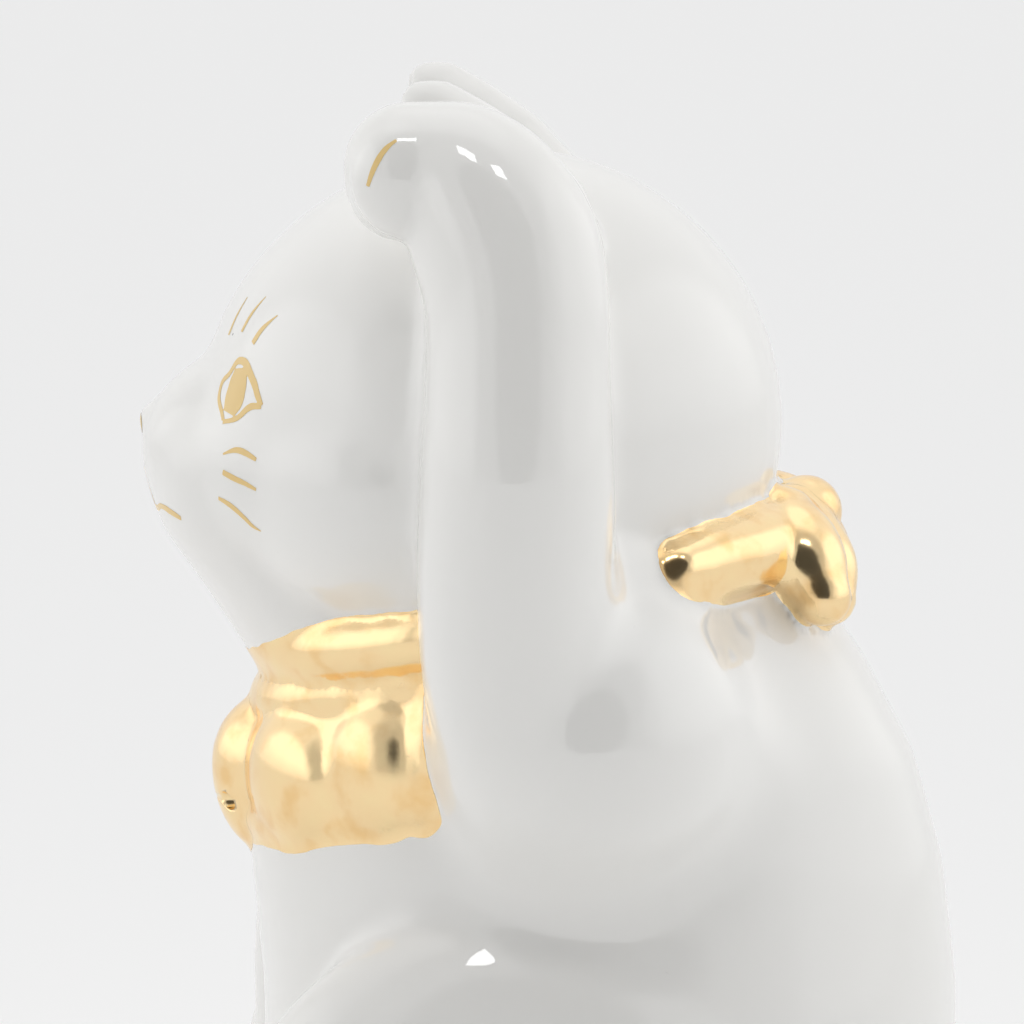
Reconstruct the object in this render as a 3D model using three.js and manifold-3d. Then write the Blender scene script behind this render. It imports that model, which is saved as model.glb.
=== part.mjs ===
// A slip-cast porcelain beckoning cat with gilded trim, as the separate castings that a potter lutes together:
// hollow head, torso and raised arm, the ears, the other legs and the tail, then the collar, bib, bell and bow.
// Millimetres, +Z up. The cat looks along -Y, +X is its left, and the origin is in the middle of its flat base.
import * as THREE from "three";
import { LoftGeometry } from "three/addons/geometries/LoftGeometry.js";
import { mergeVertices } from "three/addons/utils/BufferGeometryUtils.js";
import Module from "manifold-3d";

const wasm = await Module();
wasm.setup();

// Casting
const wall = 4; // thickness of the cast shells
const seam = 0.3; // clearance kept at every luted seam
const ventRadius = 6; // hole that lets air out of the body in the kiln
const ventBehind = 24; // distance of that hole behind the middle of the base

// Torso, up to the neck, where head and torso are luted together on a plane that rises towards the nape
const neckHeight = 114.5; // of that plane at the chest
const neckTilt = THREE.MathUtils.degToRad(16.5);
const torsoDepth = 120; // at its deepest
const torsoWidth = 104; // at its widest

// The torso's outline. Each point gives its height as a share of the neck's, then how far the front and the
// back lie from the middle as shares of the depth, and the side as a share of the width. It runs on past the
// neck, because the nape is higher than the chest.
const torsoOutline = [
  [0, 0.39, 0.39, 0.41],
  [0.026, 0.425, 0.425, 0.455],
  [0.17, 0.458, 0.475, 0.49],
  [0.39, 0.467, 0.5, 0.5],
  [0.56, 0.471, 0.5, 0.48],
  [0.75, 0.479, 0.479, 0.442],
  [0.88, 0.475, 0.437, 0.413],
  [1.01, 0.462, 0.383, 0.399],
  [1.14, 0.45, 0.308, 0.394],
  [1.31, 0.433, 0.233, 0.394],
];

// Head
const headRise = 40.5; // from the neck at the chest up to the middle of the skull
const headForward = 16; // from the middle of the torso to the middle of the skull
const skullFront = 50.5;
const skullBack = 46;
const skullUp = 45;
const skullDown = 44;
const skullSide = 50;
const muzzleReach = 61; // from the middle of the skull to the tip of the nose
const muzzleLength = 25;
const muzzleWidth = 48;
const muzzleHeight = 42;
const muzzleDrop = 5; // below the middle of the skull
const throatRadius = 20; // of the soft roll from the chin down to the collar

// Raised arm
const armWidth = 29; // seen from the side
const armThickness = 25; // seen from the front
const armForward = 14; // in front of the middle of the torso
const pawRadius = 11;
const pawReach = 17; // how far the paw bends forward from the arm

// Legs and tail
const forelegRadius = 12;
const forelegApart = 19; // from the middle line
const haunchLength = 96;
const haunchHeight = 78;
const haunchWidth = 44;
const haunchProud = 4; // how far it stands out from the torso's side and chest
const footRadius = 10.5;
const footLength = 34;
const footReach = 16; // how far the toes stand out in front of the torso
const tailRadius = 9;
const tailHeight = 9.5;

// Ears
const earHeight = 24; // above the skull
const earWidth = 30; // seen from the front
const earDepth = 38; // seen from the side
const earApart = 30; // from the middle line
const earHollow = 0.62; // size of the hollow, as a share of the ear

// Trim
const collarHeight = 9.5;
const collarThickness = 6;
const collarLeft = THREE.MathUtils.degToRad(80); // it ends behind the raised arm on this side
const collarRight = THREE.MathUtils.degToRad(104); // and below the loop of the bow on this one
const bibHeight = 27;
const bibThickness = 8;
const bibReach = THREE.MathUtils.degToRad(64); // how far round each side it goes
const bibFolds = 11;
const bellRadius = 11.5;
const bellSlot = 1.6;
const loopLength = 54; // along the neck, from the knot
const loopHeight = 16;
const loopThickness = 10;
const bowTailLength = 24;
const bowTailWidth = 13;
const knotRadius = 7;

// --- solids -----------------------------------------------------------------------------------------------

const UP = new THREE.Vector3(0, 0, 1);
const LEFT = new THREE.Vector3(1, 0, 0);

function solidOf(geometry) {
  const bare = new THREE.BufferGeometry();
  bare.setAttribute("position", geometry.attributes.position);
  bare.setIndex(geometry.index);
  const merged = mergeVertices(bare, 1e-3);
  const corners = merged.index.array;
  const kept = [];
  for (let i = 0; i < corners.length; i += 3) {
    const [a, b, c] = corners.slice(i, i + 3);
    if (a !== b && b !== c && c !== a) kept.push(a, b, c);
  }
  return new wasm.Manifold(
    new wasm.Mesh({
      numProp: 3,
      vertProperties: merged.attributes.position.array,
      triVerts: new Uint32Array(kept),
    }),
  );
}

function geometryOf(solid) {
  const mesh = solid.getMesh();
  const geometry = new THREE.BufferGeometry();
  geometry.setAttribute("position", new THREE.BufferAttribute(mesh.vertProperties, 3));
  geometry.setIndex(new THREE.BufferAttribute(mesh.triVerts, 1));
  geometry.computeVertexNormals();
  return geometry;
}

// An ellipsoid whose front and back, and top and bottom, may differ.
function ellipsoid(centre, { side, front, back = front, up, down = up }, around = 24, rings = 16) {
  const geometry = new THREE.SphereGeometry(1, around, rings).rotateX(Math.PI / 2);
  const at = geometry.attributes.position;
  for (let i = 0; i < at.count; i++) {
    const depth = at.getY(i) < 0 ? front : back;
    const height = at.getZ(i) > 0 ? up : down;
    at.setXYZ(i, at.getX(i) * side, at.getY(i) * depth, at.getZ(i) * height);
  }
  return solidOf(geometry.translate(centre.x, centre.y, centre.z));
}

// A limb that follows a curve through its points. Each size is [half width across the limb, half thickness],
// and fullness says how blunt the ends are, from 2 for an ellipse up.
function limb(points, sizes, { fullness = 4, around = 16, rings = 14, across = LEFT, grow = 0 } = {}) {
  const curve = new THREE.CatmullRomCurve3(points);
  const size = new THREE.CatmullRomCurve3(sizes.map(([w, t]) => new THREE.Vector3(w, t, 0)));
  const sections = [];
  for (let i = 1; i < rings; i++) {
    const share = (1 - Math.cos((Math.PI * i) / rings)) / 2;
    const along = curve.getTangent(share);
    const middle = curve.getPoint(share).addScaledVector(along, grow * (2 * share - 1));
    const side = across.clone().addScaledVector(along, -across.dot(along)).normalize();
    const other = new THREE.Vector3().crossVectors(along, side);
    const round = (1 - Math.abs(2 * share - 1) ** fullness) ** (1 / fullness);
    const reach = size.getPoint(share);
    sections.push(
      Array.from({ length: around }, (_, k) => {
        const angle = (2 * Math.PI * k) / around;
        return middle
          .clone()
          .addScaledVector(side, (reach.x * round + grow) * Math.cos(angle))
          .addScaledVector(other, (reach.y * round + grow) * Math.sin(angle));
      }),
    );
  }
  return solidOf(new LoftGeometry(sections, { capStart: true, capEnd: true }));
}

function box(x0, x1, y0, y1, z0, z1) {
  const geometry = new THREE.BoxGeometry(x1 - x0, y1 - y0, z1 - z0);
  return solidOf(geometry.translate((x0 + x1) / 2, (y0 + y1) / 2, (z0 + z1) / 2));
}

const FAR = 400;
const aboveBase = box(-FAR, FAR, -FAR, FAR, 0, FAR);
const leftHalf = box(seam / 2, FAR, -FAR, FAR, -FAR, FAR);
const rightHalf = box(-FAR, -seam / 2, -FAR, FAR, -FAR, FAR);

// Everything above the neck plane, raised by lift.
function aboveNeck(lift) {
  const geometry = new THREE.BoxGeometry(FAR, FAR, FAR).translate(0, 0, FAR / 2 + lift);
  return solidOf(geometry.rotateX(neckTilt).translate(0, -torsoAt(neckHeight).front, neckHeight));
}

const vec = (x, y, z) => new THREE.Vector3(x, y, z);

// --- surfaces that the other pieces are placed on ----------------------------------------------------------

const torsoTop = torsoOutline.at(-1)[0] * neckHeight;
const torsoCurve = new THREE.CubicInterpolant(
  torsoOutline.map(([share]) => share * neckHeight),
  torsoOutline.flatMap(([, front, back, side]) => [front * torsoDepth, back * torsoDepth, side * torsoWidth]),
  3,
);

function torsoAt(z) {
  const [front, back, side] = torsoCurve.evaluate(THREE.MathUtils.clamp(z, 0, torsoTop));
  return { front, back, side };
}

// A point on the torso at that height. Angle 0 is the chest, and a quarter turn is the cat's left side.
function onTorso(angle, z, out = 0) {
  const { front, back, side } = torsoAt(z);
  const depth = Math.cos(angle) > 0 ? front : back;
  return vec((side + out) * Math.sin(angle), -(depth + out) * Math.cos(angle), z);
}

// The point of that angle whose height keeps a distance from the neck plane.
function alongNeck(angle, lift, out = 0) {
  const front = -torsoAt(neckHeight).front;
  let point = onTorso(angle, neckHeight, out);
  for (let i = 0; i < 12; i++) {
    const z = neckHeight + lift + (point.y - front) * Math.tan(neckTilt);
    point = onTorso(angle, z, out);
  }
  return point;
}

// --- castings ---------------------------------------------------------------------------------------------

function torsoSolid(grow, around = 36, rings = 16) {
  const low = grow < -seam ? -grow : 0;
  const heights = [];
  for (let i = 0; i <= rings; i++) heights.push(low + (torsoTop - low) * (i / rings) ** 1.3);
  const sections = heights.map((z) =>
    Array.from({ length: around }, (_, k) => onTorso((2 * Math.PI * k) / around, z, grow)),
  );
  return solidOf(new LoftGeometry(sections, { capStart: true, capEnd: true }));
}

const skullMiddle = vec(0, -headForward, neckHeight + headRise);
const crown = skullMiddle.z + skullUp;

function headSolid(grow, around = 36, rings = 24) {
  const muzzleMiddle = skullMiddle.clone().add(vec(0, muzzleLength - muzzleReach, -muzzleDrop));
  const skull = ellipsoid(
    skullMiddle,
    {
      side: skullSide + grow,
      front: skullFront + grow,
      back: skullBack + grow,
      up: skullUp + grow,
      down: skullDown + grow,
    },
    around,
    rings,
  );
  const muzzle = ellipsoid(
    muzzleMiddle,
    { side: muzzleWidth / 2 + grow, front: muzzleLength + grow, up: muzzleHeight / 2 + grow },
    24,
    14,
  );
  const neckFront = onTorso(0, neckHeight);
  const chin = muzzleMiddle.clone().add(vec(0, 0, throatRadius - muzzleHeight / 2));
  const neck = neckFront.clone().add(vec(0, throatRadius + 4, 0));
  const throat = limb(
    [chin, chin.clone().lerp(neck, 0.5), neck],
    [
      [muzzleWidth / 2, throatRadius],
      [muzzleWidth / 2 + 7, throatRadius],
      [muzzleWidth / 2 + 13, throatRadius],
    ],
    { fullness: 5, around: 20, rings: 12, grow },
  );
  return skull.add(muzzle).add(throat);
}

function headShell() {
  return headSolid(0).intersect(aboveNeck(seam)).subtract(headSolid(-wall, 20, 14));
}

function torsoShell() {
  const vent = new THREE.CylinderGeometry(ventRadius, ventRadius, 4 * wall, 24).rotateX(Math.PI / 2);
  return torsoSolid(0)
    .subtract(aboveNeck(0))
    .subtract(torsoSolid(-wall, 24, 10))
    .subtract(solidOf(vent.translate(0, ventBehind, 0)));
}

// Head and torso grown by the clearance, which everything luted onto them is cut by.
const body = headSolid(seam).intersect(aboveNeck(-1)).add(torsoSolid(seam).subtract(aboveNeck(1)));

// The arm leaves the shoulder, runs up beside the cheek and bends forward into the paw.
function armSolid(grow) {
  const shoulder = torsoAt(neckHeight).side + armThickness / 2 - 2;
  const cheek = skullSide + 2;
  const y = -armForward;
  const w = armWidth / 2;
  const t = armThickness / 2;
  return limb(
    [
      vec(shoulder - 26, y + 10, neckHeight - 24),
      vec(shoulder - 8, y + 2, neckHeight - 10),
      vec(shoulder, y, neckHeight + 14),
      vec(cheek, y, skullMiddle.z),
      vec(cheek - 4, y, crown - 21),
      vec(cheek - 8, y - pawReach * 0.35, crown - 4),
      vec(cheek - 10, y - pawReach, crown - 1),
      vec(cheek - 11, y - pawReach - pawRadius, crown - 5),
    ],
    [
      [t + 4, w + 8],
      [t + 1, w + 4],
      [t, w + 1],
      [t, w],
      [t, w],
      [t, w - 2],
      [t, pawRadius + 2],
      [t - 1, pawRadius],
    ],
    { fullness: 5, around: 18, rings: 20, grow },
  );
}

function raisedArm() {
  return armSolid(0).subtract(armSolid(-wall)).subtract(body);
}

const bodyAndArm = body.add(armSolid(seam));

// An ear: a blunt fin whose front is scooped out. Sign is 1 for the cat's left.
function earSolid(sign, size) {
  const root = skullMiddle.z + skullUp * Math.sqrt(1 - (earApart / skullSide) ** 2);
  const x = sign * earApart;
  const y = skullMiddle.y;
  const half = (share) => [(earWidth / 2) * share * size, (earDepth / 2) * share * size];
  return limb(
    [
      vec(x * 0.9, y + 3, root - earHeight * 0.6),
      vec(x * 0.97, y, root - 2),
      vec(x * 1.03, y - earDepth * 0.17, root + earHeight * 0.45 * size),
      vec(x * 1.05, y - earDepth * 0.29, root + earHeight * size),
    ],
    [half(1), half(0.95), half(0.62), half(0.28)],
    { fullness: 4, rings: 12 },
  );
}

function ear(sign) {
  const hollow = earSolid(sign, earHollow).translate([0, -earDepth * 0.3, 0]);
  return earSolid(sign, 1).subtract(hollow).subtract(bodyAndArm);
}

function forelegSolid(grow) {
  const joint = ([share, aside, inside]) => {
    const z = forelegRadius * 0.6 + (neckHeight - forelegRadius * 0.6) * share;
    return vec(-forelegApart - aside, -torsoAt(z).front + inside, z);
  };
  return limb(
    [
      [0.79, 6, forelegRadius * 2],
      [0.62, 2, forelegRadius - 1],
      [0.35, 0, forelegRadius - 3],
      [0.1, 0, forelegRadius - 5],
      [0.02, 0, -2],
      [0, 0, 1 - forelegRadius],
    ].map(joint),
    [
      [forelegRadius + 4, forelegRadius + 2],
      [forelegRadius + 1, forelegRadius],
      [forelegRadius, forelegRadius],
      [forelegRadius, forelegRadius - 1],
      [forelegRadius + 1, forelegRadius - 2],
      [forelegRadius, forelegRadius - 4],
    ],
    { fullness: 5, rings: 16, grow },
  );
}

function foreleg() {
  return forelegSolid(0).subtract(torsoSolid(seam)).subtract(bibSolid(seam)).intersect(aboveBase);
}

const haunchMiddle = vec(
  torsoAt(haunchHeight / 2).side + haunchProud - haunchWidth / 2,
  haunchLength / 2 - torsoAt(haunchHeight / 2).front - haunchProud,
  haunchHeight / 2 - 1,
);

function haunchSolid(sign, grow) {
  return ellipsoid(
    vec(sign * haunchMiddle.x, haunchMiddle.y, haunchMiddle.z),
    { side: haunchWidth / 2 + grow, front: haunchLength / 2 + grow, up: haunchHeight / 2 + grow },
  );
}

function haunch(sign) {
  return haunchSolid(sign, 0).subtract(torsoSolid(seam)).subtract(forelegSolid(seam)).intersect(aboveBase);
}

function footSolid(sign, grow) {
  const toes = -torsoAt(footRadius).front - footReach;
  const x = sign * (haunchMiddle.x + 2);
  return limb(
    [
      vec(x, toes + footLength, footRadius - 1),
      vec(x, toes + footLength / 2, footRadius - 1),
      vec(x * 0.97, toes, footRadius - 2),
    ],
    [
      [footRadius, footRadius - 1],
      [footRadius + 1.5, footRadius],
      [footRadius, footRadius - 2],
    ],
    { fullness: 3.5, rings: 12, grow },
  );
}

function foot(sign) {
  return footSolid(sign, 0)
    .subtract(torsoSolid(seam))
    .subtract(haunchSolid(sign, seam))
    .subtract(forelegSolid(seam))
    .intersect(aboveBase);
}

// The tail lies round the back of the base, towards the cat's right.
function tail() {
  const route = [0.96, 1.04, 1.14, 1.26, 1.36].map((turn) =>
    onTorso(turn * Math.PI, tailHeight, tailRadius * 0.35),
  );
  const solid = limb(
    route,
    route.map((_, i) => [tailRadius * (1 - 0.05 * i), tailRadius * (1.1 - 0.06 * i)]),
    { fullness: 3.5, across: UP },
  );
  return solid.subtract(torsoSolid(seam)).subtract(haunchSolid(-1, seam)).intersect(aboveBase);
}

// --- gilded trim ------------------------------------------------------------------------------------------

// A band round the front of the neck: an upright oval section carried along the neck plane.
function collarSolid(grow) {
  const steps = 32;
  const sections = Array.from({ length: steps + 1 }, (_, i) => {
    const angle = THREE.MathUtils.lerp(-collarRight, collarLeft, i / steps);
    const middle = alongNeck(angle, 0);
    const out = vec(Math.sin(angle), -Math.cos(angle), 0);
    return Array.from({ length: 8 }, (_, k) => {
      const turn = (-2 * Math.PI * k) / 8;
      return middle
        .clone()
        .addScaledVector(out, (collarThickness / 2 + grow) * Math.cos(turn) + collarThickness / 4)
        .addScaledVector(UP, (collarHeight / 2 + grow) * Math.sin(turn));
    });
  });
  return solidOf(new LoftGeometry(sections, { capStart: true, capEnd: true }));
}

// The bib hangs below the collar and swells into soft folds.
function bibSolid(grow) {
  const steps = 44;
  const sections = [];
  for (let i = 0; i <= steps; i++) {
    const angle = bibReach * ((2 * i) / steps - 1);
    const fold = 0.5 + 0.5 * Math.cos((angle / bibReach) * Math.PI * (bibFolds - 1) * 0.5);
    const top = -collarHeight / 2 - seam;
    const out = vec(Math.sin(angle), -Math.cos(angle), 0);
    sections.push(
      Array.from({ length: 10 }, (_, k) => {
        const turn = (-2 * Math.PI * k) / 10;
        const share = (1 + Math.sin(turn)) / 2;
        const lift = top - (bibHeight + fold * 2) * (1 - share);
        const swell = (bibThickness / 2) * (0.75 + 0.25 * fold * (1 - share)) + grow;
        return alongNeck(angle, lift + grow * Math.sin(turn)).addScaledVector(
          out,
          swell * Math.cos(turn),
        );
      }),
    );
  }
  return solidOf(new LoftGeometry(sections, { capStart: true, capEnd: true }));
}

const bellMiddle = alongNeck(0, -collarHeight / 2 - bellRadius - 3, bibThickness / 2 - 1);

function bellSolid(grow) {
  return ellipsoid(
    bellMiddle,
    { side: bellRadius + grow, front: bellRadius - 2 + grow, up: bellRadius + grow, down: bellRadius + 2 + grow },
  );
}

function bell() {
  const z = bellMiddle.z - 3;
  const front = bellMiddle.y - bellRadius;
  const slot = box(-bellRadius, bellRadius, front - 1, front + 6, z - bellSlot / 2, z + bellSlot / 2);
  return bellSolid(0).subtract(slot).subtract(bodyAndArm);
}

const bellSpace = bellSolid(seam);

function collar() {
  return collarSolid(0).subtract(bodyAndArm);
}

function bib() {
  return bibSolid(0)
    .subtract(bodyAndArm)
    .subtract(collarSolid(seam))
    .subtract(bellSpace);
}

// Bow at the nape. Each loop wraps round the neck from the knot, and each tail falls down the back.
const knotMiddle = alongNeck(Math.PI, -1, 1);

function bowLoopSolid(sign, grow) {
  const turn = loopLength / torsoAt(neckHeight).side;
  const route = [0.05, 0.4, 0.75, 1].map((share) =>
    alongNeck(Math.PI - sign * turn * share, 3 * share - 2, 0),
  );
  return limb(
    route,
    [
      [loopHeight * 0.3, loopThickness * 0.4],
      [loopHeight * 0.5, loopThickness * 0.5],
      [loopHeight * 0.55, loopThickness * 0.55],
      [loopHeight * 0.5, loopThickness * 0.45],
    ],
    { fullness: 3.5, across: UP, grow },
  );
}

function bowTailSolid(sign, grow) {
  const spread = 0.55; // radians round the neck from the knot
  const route = [0, 0.35, 0.7, 1].map((share) =>
    alongNeck(Math.PI - sign * spread * share, -bowTailLength * share ** 1.4, 2 - share),
  );
  return limb(
    route,
    [
      [bowTailWidth * 0.35, 4],
      [bowTailWidth * 0.45, 5.5],
      [bowTailWidth * 0.5, 5.5],
      [bowTailWidth * 0.45, 4],
    ],
    { fullness: 3.5, grow },
  );
}

function knotSolid(grow) {
  return ellipsoid(
    knotMiddle,
    { side: knotRadius + grow, front: knotRadius + grow, up: knotRadius + grow },
    16,
    12,
  );
}

const collarSpace = collarSolid(seam);
const knotSpace = knotSolid(seam);

function bowLoop(sign) {
  return bowLoopSolid(sign, 0).subtract(bodyAndArm).subtract(collarSpace).subtract(knotSpace);
}

function bowTail(sign) {
  return bowTailSolid(sign, 0)
    .intersect(sign > 0 ? leftHalf : rightHalf)
    .subtract(bodyAndArm)
    .subtract(collarSpace)
    .subtract(knotSpace)
    .subtract(bowLoopSolid(1, seam))
    .subtract(bowLoopSolid(-1, seam));
}

function knot() {
  return knotSolid(0).subtract(body).subtract(collarSpace);
}

// --- assembly ---------------------------------------------------------------------------------------------

const porcelain = new THREE.MeshStandardMaterial({ color: 0xe9e8e4, roughness: 0.08, metalness: 0 });
const gold = new THREE.MeshStandardMaterial({ color: 0xd9a441, roughness: 0.18, metalness: 1 });

const cat = new THREE.Group();

function add(name, solid, material) {
  const whole = solid.decompose().sort((a, b) => b.volume() - a.volume())[0];
  const mesh = new THREE.Mesh(geometryOf(whole), material);
  mesh.name = name;
  cat.add(mesh);
}

add("torso_shell", torsoShell(), porcelain);
add("head_shell", headShell(), porcelain);
add("raised_left_arm", raisedArm(), porcelain);
add("right_foreleg", foreleg(), porcelain);
add("left_ear", ear(1), porcelain);
add("right_ear", ear(-1), porcelain);
add("left_haunch", haunch(1), porcelain);
add("right_haunch", haunch(-1), porcelain);
add("left_hind_foot", foot(1), porcelain);
add("right_hind_foot", foot(-1), porcelain);
add("tail", tail(), porcelain);
add("collar", collar(), gold);
add("bib", bib(), gold);
add("bell", bell(), gold);
add("bow_knot", knot(), gold);
add("bow_loop_left", bowLoop(1), gold);
add("bow_loop_right", bowLoop(-1), gold);
add("bow_tail_left", bowTail(1), gold);
add("bow_tail_right", bowTail(-1), gold);

export default cat;
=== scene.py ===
"""A glazed porcelain beckoning cat with gold lustre trim, modelled around its packed castings."""

import math

import bpy
from bpy.props import FloatProperty, FloatVectorProperty, PointerProperty
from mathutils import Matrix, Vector


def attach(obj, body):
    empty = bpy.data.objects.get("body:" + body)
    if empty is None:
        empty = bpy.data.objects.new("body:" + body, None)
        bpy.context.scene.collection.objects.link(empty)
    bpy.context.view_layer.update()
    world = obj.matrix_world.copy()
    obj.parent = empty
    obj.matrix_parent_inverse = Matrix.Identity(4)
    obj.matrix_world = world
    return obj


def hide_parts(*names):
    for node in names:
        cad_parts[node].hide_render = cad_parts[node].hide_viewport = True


bl_info = {
    "name": "Porcelain beckoning cat",
    "version": (1, 0, 0),
    "blender": (4, 5, 0),
    "location": "View3D > Sidebar > Cat",
    "description": "Models a slip-cast porcelain cat with gold lustre trim",
    "category": "Add Mesh",
}

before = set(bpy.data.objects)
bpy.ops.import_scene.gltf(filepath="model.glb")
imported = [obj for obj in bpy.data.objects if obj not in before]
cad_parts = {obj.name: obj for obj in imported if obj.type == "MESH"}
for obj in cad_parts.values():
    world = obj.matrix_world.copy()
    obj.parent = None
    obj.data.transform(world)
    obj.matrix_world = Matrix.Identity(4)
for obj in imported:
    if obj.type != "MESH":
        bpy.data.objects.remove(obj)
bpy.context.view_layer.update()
MM = 0.001
LEFT, RIGHT = 1, -1
NEAR = 0.001 * MM  # points closer than this are one point
CRUMB = 80  # a loose sliver has no more vertices than this
BALL_SIDES, BALL_RINGS = 48, 32
RING_SIDES = 64
PASS = 0.5  # how far one pass of smoothing moves a point towards its neighbours
CREASE = math.radians(50)


# --- hand tools -------------------------------------------------------------------------------------------


def deselect():
    """Object mode with nothing selected."""
    if bpy.context.mode != "OBJECT":
        bpy.ops.object.mode_set(mode="OBJECT")
    bpy.ops.object.select_all(action="DESELECT")


def pick(*objects):
    """Select these objects only, with the first one active."""
    deselect()
    for piece in objects:
        piece.select_set(True)
    bpy.context.view_layer.objects.active = objects[0]


def settle(piece):
    """Leave the object at the origin, with its place in its mesh."""
    pick(piece)
    bpy.ops.object.transform_apply(location=True, rotation=True, scale=True)
    return piece


def egg(centre, side, front, up, back=None, down=None, turn=0.0):
    """An ellipsoid in mm, whose back may differ from its front and whose bottom may differ from its top."""
    deselect()
    bpy.ops.mesh.primitive_uv_sphere_add(segments=BALL_SIDES, ring_count=BALL_RINGS, radius=1)
    piece = bpy.context.object
    halves = (("y", 1, (1, (back or front) / front, 1)), ("z", -1, (1, 1, (down or up) / up)))
    for axis, sign, stretch in halves:
        bpy.ops.object.mode_set(mode="EDIT")
        bpy.ops.mesh.select_all(action="DESELECT")
        bpy.ops.object.mode_set(mode="OBJECT")
        for vertex in piece.data.vertices:
            vertex.select = sign * getattr(vertex.co, axis) > 1e-4
        bpy.ops.object.mode_set(mode="EDIT")
        bpy.ops.transform.resize(value=stretch, center_override=(0, 0, 0))
    bpy.ops.object.mode_set(mode="OBJECT")
    piece.scale = (side * MM, front * MM, up * MM)
    piece.rotation_euler = (0, 0, turn)
    piece.location = Vector(centre) * MM
    return settle(piece)


def limb(points, widened=1.0, tip=True):
    """A soft round form along (x, y, z, radius) points in mm, with a ball at each end if tip is set."""
    deselect()
    bpy.ops.curve.primitive_bezier_curve_add(location=(0, 0, 0))
    piece = bpy.context.object
    curve = piece.data
    curve.resolution_u = 10
    curve.bevel_depth = 1
    curve.bevel_resolution = 8
    curve.use_fill_caps = True
    spline = curve.splines[0]
    spline.radius_interpolation = "CARDINAL"
    spline.bezier_points.add(len(points) - 2)
    for knot, (x, y, z, radius) in zip(spline.bezier_points, points):
        knot.co = Vector((x, y, z)) * MM
        knot.radius = radius * MM
        knot.handle_left_type = knot.handle_right_type = "AUTO"
    bpy.ops.object.convert(target="MESH")
    bpy.ops.object.mode_set(mode="EDIT")
    bpy.ops.mesh.select_all(action="SELECT")
    bpy.ops.mesh.remove_doubles(threshold=NEAR)
    bpy.ops.mesh.normals_make_consistent(inside=False)
    bpy.ops.object.mode_set(mode="OBJECT")
    parts = [bpy.context.object]
    if tip:
        parts += [egg(points[i][:3], points[i][3], points[i][3], points[i][3]) for i in (0, -1)]
    piece = join(parts)
    if widened != 1.0:
        middle = Vector(points[len(points) // 2][:3]) * MM
        bpy.ops.object.mode_set(mode="EDIT")
        bpy.ops.mesh.select_all(action="SELECT")
        bpy.ops.transform.resize(value=(widened, 1, 1), center_override=middle)
        bpy.ops.object.mode_set(mode="OBJECT")
    return piece


def lofted(rings):
    """A body extruded from one elliptical ring to the next. A ring is (z, front, back, side) in mm."""
    deselect()
    bpy.ops.mesh.primitive_circle_add(vertices=RING_SIDES, radius=1, fill_type="NGON")
    piece = bpy.context.object
    bpy.ops.object.mode_set(mode="EDIT")
    bpy.ops.mesh.select_all(action="SELECT")
    width = depth = 1.0
    centre = Vector((0, 0, 0))
    for number, (z, front, back, side) in enumerate(rings):
        target = Vector((0, (back - front) / 2, z)) * MM
        new_width, new_depth = side * MM, (front + back) / 2 * MM
        if number == 0:
            bpy.ops.transform.translate(value=target - centre)
        else:
            bpy.ops.mesh.extrude_region_move(TRANSFORM_OT_translate={"value": target - centre})
        stretch = (new_width / width, new_depth / depth, 1)
        bpy.ops.transform.resize(value=stretch, center_override=target)
        width, depth, centre = new_width, new_depth, target
    bpy.ops.mesh.select_all(action="SELECT")
    bpy.ops.mesh.normals_make_consistent(inside=False)
    bpy.ops.object.mode_set(mode="OBJECT")
    return piece


def join(pieces):
    """Several closed meshes as one object."""
    pick(*pieces)
    if len(pieces) > 1:
        bpy.ops.object.join()
    return bpy.context.object


def copied(piece):
    """A copy with a mesh of its own."""
    twin = piece.copy()
    twin.data = piece.data.copy()
    bpy.context.collection.objects.link(twin)
    return twin


def modify(piece, kind, **settings):
    """Add one modifier with these settings and apply it."""
    pick(piece)
    bpy.ops.object.modifier_add(type=kind)
    modifier = piece.modifiers[-1]
    for name, value in settings.items():
        setattr(modifier, name, value)
    bpy.ops.object.modifier_apply(modifier=modifier.name)
    return piece


def fuse(piece, grain, softness):
    """Merge overlapping forms into one surface of even faces, and smooth it. Both sizes are in mm.

    A pass spreads a bump by about half a face, and the spread grows with the square root of the passes.
    """
    modify(piece, "REMESH", mode="VOXEL", voxel_size=grain * MM, adaptivity=0)
    repeats = round(4 * (softness / grain) ** 2)
    if repeats:
        modify(piece, "SMOOTH", factor=PASS, iterations=repeats)
    return piece


def soften(piece, spots, repeats):
    """Smooth only around some (x, y, z, reach) spots in mm, most in their middle."""
    group = piece.vertex_groups.new(name="soft")
    for vertex in piece.data.vertices:
        weight = 0.0
        for x, y, z, reach in spots:
            near = 1 - (vertex.co - Vector((x, y, z)) * MM).length / (reach * MM)
            weight = max(weight, min(1.0, near * 2))
        if weight > 0:
            group.add([vertex.index], weight, "REPLACE")
    modify(piece, "SMOOTH", factor=PASS, iterations=repeats, vertex_group=group.name)
    piece.vertex_groups.remove(piece.vertex_groups[0])
    return piece


def carve(piece, tool, operation, keep_tool=False):
    """Cut or keep what lies in a tool."""
    modify(piece, "BOOLEAN", object=tool, operation=operation, solver="MANIFOLD")
    if not piece.data.polygons:
        raise RuntimeError(f"{piece.name}: the cut left nothing")
    if not keep_tool:
        bpy.data.objects.remove(tool)
    return piece


def uneven(piece, strength, size):
    """Let a tool's surface wander, as a hand-held brush does. Both sizes are in mm."""
    texture = bpy.data.textures.new("hand", "CLOUDS")
    texture.noise_scale = size * MM
    return modify(piece, "DISPLACE", texture=texture, strength=strength * MM, mid_level=0.5)


def part_off(rest, mask):
    """Take what lies in a mask away from the rest, as a piece of its own."""
    piece = carve(copied(rest), mask, "INTERSECT", keep_tool=True)
    carve(rest, mask, "DIFFERENCE")
    return piece


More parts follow.
